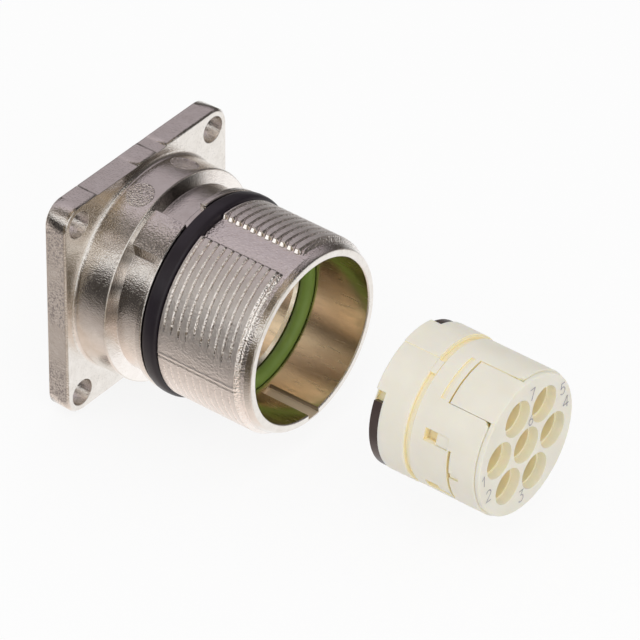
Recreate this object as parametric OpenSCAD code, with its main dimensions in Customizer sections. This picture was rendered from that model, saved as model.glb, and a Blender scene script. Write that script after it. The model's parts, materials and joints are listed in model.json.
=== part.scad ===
// Circular connector receptacle: a flanged, externally threaded shell and its seven-way contact insert,
// shown drawn out of the mouth along the connector axis.
// Frame: +X runs along the axis out of the mouth, +Z is up, the origin is the centre of the panel face.
// Angles are read from the mouth: 0 is +Y, 90 is +Z.

/* [Flange] */
// Side of the square flange
flange_w = 27.5; // [27:0.1:34]
// Thickness of the flange
flange_t = 2.85; // [2.2:0.05:4]
// Corner radius of the flange
flange_corner_r = 2.6; // [1.5:0.1:4]
// Chamfer around the flange's edges
flange_chamfer = 0.25; // [0.1:0.05:0.5]
// Distance from the flange's edges to the centres of the fixing holes
bolt_edge = 2.44; // [2.2:0.02:2.6]
// Diameter of the fixing holes
bolt_hole_d = 3.2; // [2.6:0.1:3.6]
// Depth of the shallow recesses in the top edge
edge_recess_depth = 0.28; // [0.1:0.02:0.6]

/* [Hub and neck] */
// Diameter of the hub ring on the flange
hub_d = 25.1; // [24.4:0.1:26]
// Length of the hub ring
hub_len = 4.35; // [3.5:0.05:7]
// Fillet between the hub ring and the flange
hub_fillet = 0.45; // [0.2:0.05:0.6]
// Diameter of the neck floor and of the thread slot's floor
neck_d = 21.9; // [21.7:0.1:22]
// Length of the sloping shoulder from the hub ring down to the neck
shoulder_len = 0.45; // [0.3:0.05:0.8]
// Length of the neck floor
neck_len = 3.1; // [2.5:0.1:6]
// Diameter of the collar behind the O-ring
collar_d = 23.6; // [23.2:0.1:24.2]
// Height of the raised pad above the collar
pad_step = 0.05; // [0.03:0.01:0.2]
// Width of the collar
collar_w = 0.8; // [0.5:0.1:1.5]
// Angle where the axial slot starts
slot_from = 92.5; // [85:0.5:95]
// Angle where the axial slot ends and the raised pad starts
slot_to = 109.3; // [105:0.1:115]
// Angle where the raised pad ends
pad_to = 131.5; // [125:0.5:140]
// Diameter of the round marks on the hub ring
mark_d = 3.2; // [2:0.1:3.6]
// Height of the raised mark and depth of the sunk one
mark_h = 0.1; // [0.05:0.01:0.3]

/* [Coupling O-ring] */
// Cord diameter of the black O-ring
o_ring_cord = 2.0; // [1.5:0.1:2.2]
// Height by which the O-ring stands above the thread's crests
o_ring_proud = 0.4; // [0.2:0.05:0.6]

/* [Thread] */
// Major diameter of the coupling thread
thread_d = 23; // [22.8:0.1:23.4]
// Pitch of the thread
thread_pitch = 1.0; // [0.75:0.05:1.5]
// Depth of the thread
thread_depth = 0.45; // [0.3:0.05:0.5]
// Number of thread ridges
thread_ridges = 11; // [9:1:14]
// Flat at the bottom of each groove
thread_root = 0.12; // [0.05:0.01:0.2]
// Angle of the mould's parting line on the near side
parting_angle = 182; // [178:1:186]
// Angle either side of the parting line without grooves
parting_plain = 12; // [6:1:16]

/* [Mouth] */
// Outside diameter of the rim
mouth_d = 21.6; // [21:0.1:21.8]
// Rounding of the rim's outer edge
mouth_edge_r = 0.35; // [0.15:0.05:0.45]
// Length of the plain nose in front of the thread
nose_len = 1.2; // [1:0.1:2.5]
// Diameter of the mating socket
socket_d = 19.5; // [19.3:0.1:19.8]
// Depth of the mating socket, mouth to seal
socket_depth = 7.2; // [6:0.1:8]
// Width of the keyway in the socket
key_w = 1.75; // [1:0.05:2.5]
// Depth of the keyway
key_depth = 0.55; // [0.3:0.05:0.6]
// Angle of the keyway
key_angle = 271.5; // [265:0.5:275]
// Cord diameter of the green seal
seal_cord = 1.6; // [1.4:0.05:1.65]

/* [Rear] */
// Diameter of the wire opening in the panel face
wire_opening_d = 15.2; // [14:0.1:16]
// Depth of the shoulder that stops the insert
seat_depth = 3.0; // [2.5:0.1:5]
// Cord diameter of the panel O-ring
panel_o_cord = 1.5; // [1.2:0.05:1.6]
// Centre-line diameter of the panel O-ring
panel_o_d = 20.4; // [19.6:0.1:22]

/* [Insert] */
// Diameter of the insert's rear ring
insert_d = 16.96; // [16.7:0.02:17.1]
// Overall length of the insert
insert_len = 14.55; // [14:0.05:18]
// Length of the rear ring
rear_ring_len = 4.75; // [4:0.05:6]
// Width of the groove in front of the rear ring
waist_w = 0.7; // [0.4:0.05:1]
// Depth of that groove
waist_depth = 0.42; // [0.2:0.02:0.6]
// Diameter of the sleeve in front of the groove
sleeve_d = 16.8; // [16.4:0.05:17]
// Height of the raised land on the rear ring
land_h = 0.12; // [0.05:0.01:0.2]
// Wall of the sleeve
sleeve_wall = 1.05; // [0.9:0.05:1.1]
// Thickness of the insert's rear wall
rear_wall = 2.0; // [1.8:0.1:3]
// Diameter of the numbered front disc
face_d = 16.4; // [16.2:0.05:16.6]
// Thickness of the front disc that stands out of the sleeve
face_t = 0.6; // [0.4:0.05:1]
// Distance from the mouth to the insert's rear end
insert_gap = 14; // [8:0.5:25]

/* [Contact cavities] */
// Number of cavities around the centre one
ring_cavities = 6; // [4:1:6]
// Pitch-circle radius of those cavities
cavity_pcr = 4.75; // [4.7:0.05:4.9]
// Angle of the first of them
cavity_angle = -9.6; // [-30:0.1:30]
// Diameter of a cavity's mouth
cavity_mouth_d = 4.26; // [4.1:0.02:4.4]
// Depth of that mouth
cavity_mouth_depth = 1.15; // [0.6:0.05:1.5]
// Diameter of a cavity behind its mouth
cavity_d = 3.85; // [3.5:0.05:4]
// Diameter of the wire holes in the rear wall
wire_hole_d = 3.4; // [2.8:0.1:3.6]

/* [Block, windows and slits] */
// Angle where the carrier's side block starts
block_from = 91; // [88:0.5:95]
// Angle where the block ends
block_to = 133; // [128:0.5:136]
// Distance from the insert's rear to the block's notch
notch_s = 8.5; // [8:0.1:9.5]
// Gap between the block and the notch
notch_gap = 0.2; // [0.1:0.02:0.3]
// Bevel on the sleeve's corners beside the notch
notch_bevel = 0.6; // [0.3:0.1:1]
// Angles of the latch windows, in two pairs
window_angles = [161, 210, 341, 390]; // [150:1:400]
// Width of a latch window around the sleeve, in degrees
window_deg = 10; // [6:0.5:14]
// Distance from the insert's rear to the windows
window_s = 7.1; // [6.2:0.1:7.4]
// Length of a window
window_len = 3.1; // [2.4:0.1:3.4]
// Length of the latch tab in a window
tab_len = 1.55; // [1:0.05:1.8]
// Width of the slits between windows
slit_w = 0.32; // [0.2:0.02:0.5]
// Depth of the relief groove behind the notch and of the pocket in front of the slit
relief_depth = 0.2; // [0.1:0.02:0.3]

/* [Lock ring] */
// Width of the dark ring
lock_ring_w = 1.1; // [0.8:0.05:1.3]
// Radial thickness of the dark ring
lock_ring_t = 0.85; // [0.5:0.05:0.9]
// Angle of the ring's first end
lock_ring_from = 154.5; // [150:0.5:160]
// Angle of the ring's other end
lock_ring_to = 434; // [425:0.5:440]

/* [Clearances] */
// Radial clearance of the insert in the housing
insert_clearance = 0.15; // [0.1:0.01:0.2]
// Clearance of the soft rings and the lock ring in their grooves
ring_clearance = 0.05; // [0.03:0.01:0.1]
// Clearance between the carrier and the sleeve
carrier_clearance = 0.05; // [0.03:0.01:0.1]

/* [Hidden] */
$fn = 96;
// Small overlap that keeps cuts and unions clean
eps = 0.05;
// Length of a cutter beyond the surface that it cuts
reach = 1;
// Radii of the housing's outside
hub_r = hub_d / 2;
neck_r = neck_d / 2;
collar_r = collar_d / 2;
pad_r = collar_r + pad_step;
// Place of the pad's end wall across the axis, and the angle that the pad's foot runs on to meet it
pad_wall_y = pad_r * cos(pad_to);
pad_foot_deg = 10;
// Floor of the slot through the collar, and the angle by which the slot runs on under the raised pad
collar_slot_lift = 0.05;
collar_slot_r = neck_r + collar_slot_lift;
collar_slot_inset = 2;
crest_r = thread_d / 2;
root_r = crest_r - thread_depth;
slot_drop = 0.08;
slot_r = root_r - slot_drop;
mouth_r = mouth_d / 2;
socket_r = socket_d / 2;
edge_r = 0.18;
sleeve_chamfer = 0.12;
rim_chamfer = 0.12;
// Pitch circle of the fixing holes
bolt_pcd = (flange_w - 2 * bolt_edge) * sqrt(2);
// Places along the axis, from the panel face
hub_x = flange_t + hub_len;
neck_x = hub_x + shoulder_len;
collar_x = neck_x + neck_len;
groove_x = collar_x + collar_w;
groove_w = o_ring_cord + 2 * ring_clearance;
thread_x = groove_x + groove_w;
nose_x = thread_x + thread_ridges * thread_pitch;
mouth_x = nose_x + nose_len;
// Coupling O-ring: centre-line radius and groove floor
o_ring_r = crest_r + o_ring_proud - o_ring_cord / 2;
groove_r = o_ring_r - o_ring_cord / 2 - ring_clearance;
// Insert bore, and the seal that lets the insert through
insert_r = insert_d / 2;
land_r = insert_r + land_h;
insert_bore_r = land_r + insert_clearance;
seal_r = land_r + insert_clearance / 2 + seal_cord / 2;
seal_groove_r = seal_r + seal_cord / 2 + ring_clearance;
seal_groove_w = seal_cord + 4 * ring_clearance;
seal_front_x = mouth_x - socket_depth;
seal_rear_x = seal_front_x - seal_groove_w;
lead_in = 0.35;
key_stop = 0.6;
key_start = seal_front_x + key_stop;
// Lock ring on the insert and the groove it snaps into
lock_lip = 0.15;
lock_groove_w = lock_ring_w + 2 * ring_clearance;
lock_set_back = 0.06;
lock_ring_r = insert_r - lock_set_back;
lock_floor_r = lock_ring_r - lock_ring_t - ring_clearance;
lock_lip_r = lock_ring_r - lock_ring_t / 2;
// Free angle between the ring's end and the insert's land
lock_end_gap = 8.5;
lock_far_gap = 0.5;
lock_snap = 0.35;
lock_housing_r = insert_bore_r + lock_snap;
lock_housing_x = seat_depth + ring_clearance;
lock_housing_w = lock_lip + lock_groove_w + 2 * ring_clearance;
// Panel O-ring
panel_o_depth = panel_o_cord + 2 * ring_clearance;
// Insert
sleeve_r = sleeve_d / 2;
sleeve_bore_r = sleeve_r - sleeve_wall;
core_r = sleeve_bore_r - carrier_clearance;
face_r = face_d / 2;
sleeve_front = insert_len - face_t;
waist_s = rear_ring_len;
waist_to = waist_s + waist_w;
waist_r = sleeve_r - waist_depth;
bridge_r = (insert_r + sleeve_r) / 2;
insert_x = mouth_x + insert_gap;
block_drop = 0.02;
block_r = sleeve_r - block_drop;
tab_drop = 0.12;
tab_r = sleeve_r - tab_drop;
window_to = window_s + window_len;
slit_offset = 0.2;
slit_s = window_to + slit_offset;
// Angle by which a slit runs under the window it starts from
slit_overlap = 1;
// Relief groove behind the notch, and pocket in front of the slit
relief_w = 0.55;
relief_s = notch_s - 2 * relief_w;
pocket_deg = 5;
pocket_angle = (window_angles[0] + window_angles[1]) / 2;
pocket_len = 1.2;
// Raised land on the rear ring and the bridge across the waist beside it
land_from = 14.5;
land_to = 105.5;
bridge_from = 107;
bridge_to = 118;
// Angles that the clearances take up at the sleeve's radius
notch_gap_deg = notch_gap / sleeve_r * 180 / PI;
window_gap_deg = carrier_clearance / sleeve_r * 180 / PI;
// Recesses in the flange's top edge: first and last place across the flange
edge_recesses = [[-8.4, -1.2], [1.6, 3.6]];
// Round marks on the hub ring: place along the hub and angle
mark_place = hub_len / 2;
raised_mark_angle = 107;
sunk_mark_angle = 72;

// Points of an arc around [cx, cy]
function arc(cx, cy, r, from, to, n = 5) =
    [for (i = [0 : n]) let (a = from + (to - from) * i / n) [cx + r * cos(a), cy + r * sin(a)]];

// Turns a shape built along +Z so that it lies along the connector axis
module on_axis(x = 0) {
    translate([x, 0, 0])
        rotate([90, 0, 90])
            children();
}

// Ring sector between two radii, two places along the axis and two angles
module sector(r0, r1, z0, z1, from, to) {
    rotate([0, 0, from])
        rotate_extrude(angle = to - from)
            translate([r0, z0])
                square([r1 - r0, z1 - z0]);
}

// Full ring between two radii
module ring(r0, r1, z0, z1) {
    rotate_extrude()
        translate([r0, z0])
            square([r1 - r0, z1 - z0]);
}

// O-ring: a cord of circular section
module cord_ring(r, cord, z) {
    rotate_extrude()
        translate([r, z])
            circle(d = cord, $fn = 48);
}

// Flat bar of the flange, chamfered along its two long edges
module flange_bar(w, l) {
    c = flange_chamfer;
    rotate([90, 0, 0])
        linear_extrude(l, center = true)
            polygon([[-w / 2 + c, 0], [w / 2 - c, 0], [w / 2, c], [w / 2, flange_t - c],
                     [w / 2 - c, flange_t], [-w / 2 + c, flange_t], [-w / 2, flange_t - c], [-w / 2, c]]);
}

// Square flange with round chamfered corners
module flange() {
    c = flange_chamfer;
    r = flange_corner_r;
    inner = flange_w - 2 * r;
    flange_bar(flange_w, inner);
    rotate([0, 0, 90])
        flange_bar(flange_w, inner);
    for (sx = [-1, 1], sy = [-1, 1])
        translate([sx * inner / 2, sy * inner / 2, 0])
            rotate_extrude()
                polygon([[0, 0], [r - c, 0], [r, c], [r, flange_t - c], [r - c, flange_t], [0, flange_t]]);
}

// Shallow recesses with sloping ends in the flange's top edge
module edge_recess_cuts() {
    d = edge_recess_depth;
    for (span = edge_recesses)
        translate([0, flange_w / 2, -eps])
            linear_extrude(flange_t + 2 * eps)
                polygon([[span[0] - d, eps], [span[0] + d, -d], [span[1] - d, -d], [span[1] + d, eps]]);
}

// Fixing holes in the flange
module bolt_hole_cuts() {
    for (a = [45 : 90 : 315])
        rotate([0, 0, a])
            translate([bolt_pcd / 2, 0, -eps])
                cylinder(d = bolt_hole_d, h = flange_t + 2 * eps);
}

// Outside of the hub, neck, collar, O-ring groove, thread core and nose
module turned_outside() {
    f = hub_fillet;
    e = edge_r;
    m = mouth_edge_r;
    rotate_extrude()
        polygon(concat(
            [[0, eps], [hub_r + f, eps]],
            arc(hub_r + f, flange_t + f, f, 270, 180),
            arc(hub_r - e, hub_x - e, e, 0, 90, 3),
            [[neck_r, neck_x], [neck_r, collar_x]],
            arc(collar_r - e, collar_x + e, e, 270, 360, 3),
            arc(collar_r - e, groove_x - e, e, 0, 90, 3),
            [[groove_r, groove_x], [groove_r, thread_x], [slot_r, thread_x], [slot_r, mouth_x - 2 * m]],
            arc(mouth_r - m, mouth_x - m, m, 0, 90),
            [[0, mouth_x]]));
}

// Raised pad beside the slot, ended by an upright wall that meets its top at pad_to
module pad() {
    difference() {
        sector(neck_r - eps, pad_r, hub_x - eps, groove_x - pad_step, slot_to, pad_to + pad_foot_deg);
        translate([pad_wall_y - 2 * reach, 0, neck_x - reach])
            cube([2 * reach, pad_r + reach, groove_x - neck_x + 2 * reach]);
    }
}

// Slot through the collar, in line with the slot in the thread
module collar_slot_cut() {
    sector(collar_slot_r, collar_r + reach, collar_x - eps, groove_x + eps,
           slot_from, slot_to + collar_slot_inset);
}

// Thread ridges as rings with sloping flanks, open at the slot
module thread_band() {
    foot = thread_pitch - thread_root;
    crest = foot - 2 * thread_depth * tan(30);
    inside = slot_r - eps;
    ridge = [[root_r, -foot / 2], [crest_r, -crest / 2], [crest_r, crest / 2], [root_r, foot / 2]];
    rotate([0, 0, slot_to])
        rotate_extrude(angle = 360 + slot_from - slot_to)
            polygon(concat(
                [[inside, thread_x + thread_root / 2]],
                [for (i = [0 : thread_ridges - 1], p = ridge) p + [0, thread_x + (i + 0.5) * thread_pitch]],
                [[inside, nose_x - thread_root / 2]]));
    for (a = [parting_angle, parting_angle - 180])
        sector(inside, crest_r - edge_r, thread_x + thread_root, nose_x - thread_root,
               a - parting_plain, a + parting_plain);
}

// Everything that is bored out of the housing, from the panel face to the mouth
module bore_cut() {
    wire_r = wire_opening_d / 2;
    lock_to = lock_housing_x + lock_housing_w;
    rotate_extrude()
        polygon([[0, -eps], [wire_r + lead_in + eps, -eps], [wire_r, lead_in], [wire_r, seat_depth],
                 [insert_bore_r, seat_depth], [insert_bore_r, lock_housing_x], [lock_housing_r, lock_housing_x],
                 [lock_housing_r, lock_to], [insert_bore_r, lock_to], [insert_bore_r, seal_rear_x - lead_in],
                 [insert_bore_r + lead_in, seal_rear_x], [seal_groove_r, seal_rear_x],
                 [seal_groove_r, seal_front_x], [socket_r, seal_front_x], [socket_r, mouth_x - rim_chamfer],
                 [socket_r + rim_chamfer + eps, mouth_x + eps], [0, mouth_x + eps]]);
    rotate([0, 0, key_angle])
        translate([0, -key_w / 2, key_start])
            cube([socket_r + key_depth, key_w, mouth_x - key_start + eps]);
}

// Nickel-plated casting: flange, hub, neck, threaded tube
module housing() {
    color("silver") on_axis()
        difference() {
            union() {
                flange();
                difference() {
                    turned_outside();
                    collar_slot_cut();
                }
                pad();
                thread_band();
                hub_mark(raised_mark_angle, hub_r - reach, hub_r + mark_h);
            }
            edge_recess_cuts();
            bolt_hole_cuts();
            hub_mark(sunk_mark_angle, hub_r - mark_h, hub_r + reach);
            bore_cut();
            ring(panel_o_d / 2 - panel_o_depth / 2, panel_o_d / 2 + panel_o_depth / 2, -eps, panel_o_depth);
        }
}

// Round mark on the hub ring: the part of a radial stud that lies between two radii
module hub_mark(angle, r0, r1) {
    intersection() {
        rotate([0, 0, angle])
            translate([0, 0, flange_t + mark_place])
                rotate([0, 90, 0])
                    cylinder(d = mark_d, h = hub_r + 2 * reach);
        ring(r0, r1, flange_t, hub_x);
    }
}

// Black O-ring that seals the coupling nut
module coupling_o_ring() {
    color("black") on_axis()
        cord_ring(o_ring_r, o_ring_cord, groove_x + groove_w / 2);
}

// Green seal at the bottom of the mating socket
module mating_seal() {
    color("olivedrab") on_axis()
        cord_ring(seal_r, seal_cord, (seal_front_x + seal_rear_x) / 2);
}

// O-ring that seals the flange to the panel
module panel_o_ring() {
    color("dimgray") on_axis()
        cord_ring(panel_o_d / 2, panel_o_cord, panel_o_cord / 2 + ring_clearance);
}

// Runs its children at each contact place: the centre and the ring around it
module at_cavities() {
    children();
    for (i = [0 : ring_cavities - 1])
        rotate([0, 0, cavity_angle + i * 360 / ring_cavities])
            translate([cavity_pcr, 0, 0])
                children();
}

// Front half of the insert: core, numbered face, side block and latch tabs, with the stepped cavities
module contact_carrier() {
    e = edge_r;
    back = rear_wall + carrier_clearance;
    color("ivory") on_axis(insert_x)
        difference() {
            union() {
                translate([0, 0, back])
                    cylinder(r = core_r, h = insert_len - back - eps);
                rotate_extrude()
                    polygon(concat([[0, sleeve_front + carrier_clearance], [face_r, sleeve_front + carrier_clearance]],
                                   arc(face_r - e, insert_len - e, e, 0, 90, 4), [[0, insert_len]]));
                rotate([0, 0, block_from + notch_gap_deg])
                    rotate_extrude(angle = block_to - block_from - notch_gap_deg - window_gap_deg)
                        polygon(concat([[core_r - eps, notch_s + notch_gap], [block_r, notch_s + notch_gap]],
                                       arc(block_r - e, insert_len - e, e, 0, 90, 4), [[core_r - eps, insert_len]]));
                for (a = window_angles)
                    sector(core_r - eps, tab_r, window_to - tab_len, window_to - carrier_clearance,
                           a - window_deg / 2 + window_gap_deg, a + window_deg / 2 - window_gap_deg);
            }
            at_cavities() {
                cylinder(d = cavity_d, h = insert_len + eps);
                translate([0, 0, insert_len - cavity_mouth_depth])
                    cylinder(d = cavity_mouth_d, h = cavity_mouth_depth + eps);
            }
        }
}

// Bevels one corner of the sleeve beside the block's notch; side is the way from the corner into the notch
module corner_bevel(angle, side) {
    cutter = 3 * notch_bevel;
    shift = (cutter - notch_bevel * sqrt(2)) / (2 * sqrt(2));
    rotate([0, 0, angle])
        translate([sleeve_r, side * shift, sleeve_front + shift])
            rotate([45, 0, 0])
                cube([4 * sleeve_wall, cutter, cutter], center = true);
}

// Rear half of the insert: sleeve with its rear wall, lock ring groove, windows, slits and notch
module insert_body() {
    far = land_r + reach;
    c = sleeve_chamfer;
    lock_from = lock_ring_from - lock_end_gap;
    color("ivory") on_axis(insert_x)
        difference() {
            union() {
                rotate_extrude()
                    polygon([[0, 0], [insert_r - c, 0], [insert_r, c], [insert_r, waist_s - c],
                             [insert_r - c, waist_s], [waist_r, waist_s], [waist_r, waist_to],
                             [sleeve_r - c, waist_to], [sleeve_r, waist_to + c], [sleeve_r, sleeve_front - c],
                             [sleeve_r - c, sleeve_front], [sleeve_bore_r, sleeve_front],
                             [sleeve_bore_r, rear_wall], [0, rear_wall]]);
                sector(waist_r - eps, bridge_r, waist_s - eps, waist_to + eps, bridge_from, bridge_to);
                sector(insert_r - eps, land_r, eps, waist_s - eps, land_from, land_to);
            }
            translate([0, 0, -eps])
                at_cavities()
                    cylinder(d = wire_hole_d, h = rear_wall + 2 * eps);
            rotate([0, 0, lock_from])
                rotate_extrude(angle = lock_ring_to + lock_far_gap - lock_from)
                    polygon([[lock_lip_r, -eps], [far, -eps], [far, lock_lip + lock_groove_w],
                             [lock_floor_r, lock_lip + lock_groove_w], [lock_floor_r, lock_lip],
                             [lock_lip_r, lock_lip]]);
            sector(sleeve_bore_r - eps, far, notch_s, insert_len, block_from, block_to);
            corner_bevel(block_from, 1);
            corner_bevel(block_to, -1);
            for (a = window_angles)
                sector(sleeve_bore_r - eps, far, window_s, window_to, a - window_deg / 2, a + window_deg / 2);
            sector(sleeve_r - relief_depth, far, relief_s, relief_s + relief_w,
                   block_from + slit_overlap, block_to - slit_overlap);
            sector(sleeve_r - relief_depth, far, slit_s, slit_s + slit_w + pocket_len,
                   pocket_angle - pocket_deg / 2, pocket_angle + pocket_deg / 2);
            for (i = [0, 2])
                sector(sleeve_bore_r - eps, far, slit_s, slit_s + slit_w,
                       window_angles[i] + window_deg / 2 - slit_overlap, window_angles[i + 1] + window_deg / 2);
        }
}

// Dark open spring ring that snaps into the housing's inner groove
module lock_ring() {
    color("#3a2c2c") on_axis(insert_x)
        sector(lock_ring_r - lock_ring_t, lock_ring_r, lock_lip + ring_clearance,
               lock_lip + ring_clearance + lock_ring_w, lock_ring_from, lock_ring_to);
}

housing();
coupling_o_ring();
mating_seal();
panel_o_ring();
contact_carrier();
insert_body();
lock_ring();
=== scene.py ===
# %% [markdown]
# # A circular connector receptacle, dressed in Blender
# The object is a nickel-plated shell with a square flange, and the ivory contact insert that slides out
# of its mouth. Its solids come from the frame that is loaded here: they have the right sizes and places.
# This lesson adds what the solids leave plain: a true helical thread, the cast and plated surface, soft
# rubber, moulded plastic and the printed contact numbers.

# %% Load the frame
import json

import bmesh
import bpy
import numpy as np
from mathutils import Euler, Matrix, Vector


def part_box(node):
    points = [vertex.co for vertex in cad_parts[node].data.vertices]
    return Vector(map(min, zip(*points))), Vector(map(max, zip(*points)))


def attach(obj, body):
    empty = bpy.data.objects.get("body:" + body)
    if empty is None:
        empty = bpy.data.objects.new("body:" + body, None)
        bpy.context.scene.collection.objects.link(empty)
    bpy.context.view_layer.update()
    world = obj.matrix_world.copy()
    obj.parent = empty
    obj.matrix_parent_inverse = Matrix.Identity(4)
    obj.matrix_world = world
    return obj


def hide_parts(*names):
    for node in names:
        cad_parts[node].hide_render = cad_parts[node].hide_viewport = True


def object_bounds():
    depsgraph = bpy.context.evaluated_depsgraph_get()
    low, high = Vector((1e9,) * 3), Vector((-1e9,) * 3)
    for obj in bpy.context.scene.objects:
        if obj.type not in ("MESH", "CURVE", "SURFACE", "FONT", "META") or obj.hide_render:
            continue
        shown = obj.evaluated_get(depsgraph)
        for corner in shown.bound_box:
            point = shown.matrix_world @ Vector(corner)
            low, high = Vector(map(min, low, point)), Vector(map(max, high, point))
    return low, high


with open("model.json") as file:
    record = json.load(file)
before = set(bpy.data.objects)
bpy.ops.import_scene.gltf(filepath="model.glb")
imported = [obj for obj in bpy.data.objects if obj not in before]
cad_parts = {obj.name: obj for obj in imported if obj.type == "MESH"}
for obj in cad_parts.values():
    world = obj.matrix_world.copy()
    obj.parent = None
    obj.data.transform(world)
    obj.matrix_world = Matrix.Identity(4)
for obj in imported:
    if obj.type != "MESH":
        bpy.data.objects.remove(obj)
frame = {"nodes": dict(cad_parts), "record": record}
cad_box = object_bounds()
NODES = frame["nodes"]
MM = 0.001
print("nodes:", sorted(NODES))

# %% [markdown]
# ## Camera
# The view is a long lens from the upper front of the mouth. Its place, turn and focal length were fitted
# to the flange's corners and the mouth, so the numbers are kept as they came out of that fit. A look-at
# constraint would be shorter to write, but it can't hold the half degree of roll.

# %% Camera
CAMERA_PLACE_MM = (346.30, -409.47, 397.35)
CAMERA_TURN_DEG = (52.812, -0.472, 38.322)
CAMERA_LENS_MM = 343.24
CAMERA_SENSOR_MM = 36.0
CAMERA_CLIP_M = (0.01, 20.0)

camera_data = bpy.data.cameras.new("camera")
camera_data.lens = CAMERA_LENS_MM
camera_data.sensor_width = CAMERA_SENSOR_MM
camera_data.clip_start, camera_data.clip_end = CAMERA_CLIP_M
camera = bpy.data.objects.new("camera", camera_data)
camera.location = np.multiply(CAMERA_PLACE_MM, MM)
camera.rotation_euler = Euler(np.radians(CAMERA_TURN_DEG))
bpy.context.scene.collection.objects.link(camera)
bpy.context.scene.camera = camera
print("camera lens", CAMERA_LENS_MM, "mm")

# %% [markdown]
# ## Small helpers for meshes and shader nodes
# Every new surface is worked out as whole numpy arrays: corners as rows of x, y, z and faces as rows of
# corner numbers. One helper turns such arrays into a mesh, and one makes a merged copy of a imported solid,
# whose triangles come loose. Two more work out the normals that the copy's triangles only come near. The
# shader helpers add a node or a small chain of nodes each, which keeps the recipes of the finishes short.

# %% Mesh helpers
TINY = 1e-6


def polar(x, radius, angle_deg):
    """Points around the connector axis in mm: x along it, y = radius * cos(angle) and
    z = radius * sin(angle)."""
    x, radius, angle = np.broadcast_arrays(x, radius, np.radians(angle_deg))
    return np.stack([x, radius * np.cos(angle), radius * np.sin(angle)], axis=-1)


def ring_faces(rows, columns):
    """Quads of a closed band of rows, whose corner (i, j) has the number i * columns + j and whose last
    column joins the first."""
    i, j = np.meshgrid(np.arange(rows - 1), np.arange(columns), indexing="ij")
    k = (j + 1) % columns
    quad = [(i + 1) * columns + j, (i + 1) * columns + k, i * columns + k, i * columns + j]
    return np.stack(quad, axis=-1).reshape(-1, 4)


def add_object(name, mesh, body, slot, *materials):
    """Links a mesh at the origin, lets it ride on a body and gives it its materials. The slot is not used."""
    thing = bpy.data.objects.new(name, mesh)
    bpy.context.scene.collection.objects.link(thing)
    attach(thing, body)
    for material in materials:
        mesh.materials.append(material)
    return thing


def mesh_from_arrays(name, corners_mm, faces):
    """A mesh from rows of corners in millimetres and rows of corner numbers, shaded smooth."""
    mesh = bpy.data.meshes.new(name)
    mesh.from_pydata(np.asarray(corners_mm).reshape(-1, 3) * MM, [], np.asarray(faces).tolist())
    mesh.polygons.foreach_set("use_smooth", np.ones(len(mesh.polygons), bool))
    mesh.update()
    return mesh


def face_middles(mesh):
    """The middles of a mesh's faces in millimetres, as three arrays x, y, z."""
    middles = np.empty(len(mesh.polygons) * 3)
    mesh.polygons.foreach_get("center", middles)
    return middles.reshape(-1, 3).T / MM


# %% Copies of the solids
MERGE_M = 1e-6
SHARP_DEG = 32.0


def merged_copy(name, node, drop=None):
    """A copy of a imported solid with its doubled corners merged. drop(x, y, z) picks, from the middles of
    the faces in millimetres, the faces to leave out. Edges sharper than SHARP_DEG stay sharp."""
    bm = bmesh.new()
    bm.from_mesh(NODES[node].data)
    bmesh.ops.remove_doubles(bm, verts=bm.verts, dist=MERGE_M)
    if drop is not None:
        faces = list(bm.faces)
        gone = drop(*(np.array([f.calc_center_median() for f in faces]).T / MM))
        bmesh.ops.delete(bm, geom=[faces[i] for i in np.flatnonzero(gone)], context="FACES")
    mesh = bpy.data.meshes.new(name)
    bm.to_mesh(mesh)
    bm.free()
    mesh.materials.clear()
    mesh.polygons.foreach_set("use_smooth", np.ones(len(mesh.polygons), bool))
    mesh.set_sharp_from_angle(angle=np.radians(SHARP_DEG))
    mesh.update()
    return mesh


# %% True normals of the copies
TURNED_R = (7.0, 12.7)
CAVITY_R = (1.0, 2.4)
SAME_RING_MM = 0.004
SAME_SLOPE_DEG = 40.0
NEAR_TURNED_DEG = 24.0
ALONG_AN_AXIS = 0.99999


def turned_normals(point, facing, area, axis, limits):
    """Normals that a surface turned about the axis (y, z), along x, has at the corners of its triangles,
    and which triangles lie on such a surface between two radii. A normal is the triangle's slope along
    the axis and the corner's direction away from it. Where a narrow fillet meets a wide face, the slope
    at that edge is the wide face's."""
    offset = point[..., 1:] - axis
    radius = np.hypot(offset[..., 0], offset[..., 1])
    away = offset / np.maximum(radius, TINY)[..., None]
    outward = np.concatenate([np.zeros_like(offset[..., :1]), away], axis=-1)
    side = np.sign((facing * outward).sum(axis=2).mean(axis=1, keepdims=True))
    slope = np.arctan2(facing[..., 0], side * np.sqrt(np.clip(1.0 - facing[..., 0] ** 2, 0.0, 1.0)))
    place = np.round(np.stack([point[..., 0], radius], axis=-1).reshape(-1, 2) / SAME_RING_MM)
    ring = np.unique(place, axis=0, return_inverse=True)[1].ravel()
    by_area = np.argsort(np.repeat(area, 3), kind="stable")
    widest = np.zeros(ring.max() + 1)
    widest[ring[by_area]] = np.repeat(slope, 3)[by_area]
    widest = widest[ring].reshape(-1, 3)
    bend = np.abs((widest - slope + np.pi) % (2.0 * np.pi) - np.pi)
    slope = np.where(bend < np.radians(SAME_SLOPE_DEG), widest, slope)
    turned = np.cos(slope)[..., None] * outward
    turned[..., 0] = np.sin(slope)
    close = (turned * facing).sum(axis=2).min(axis=1) > np.cos(np.radians(NEAR_TURNED_DEG))
    return turned, close & (radius.min(axis=1) > limits[0]) & (radius.max(axis=1) < limits[1])


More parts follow.
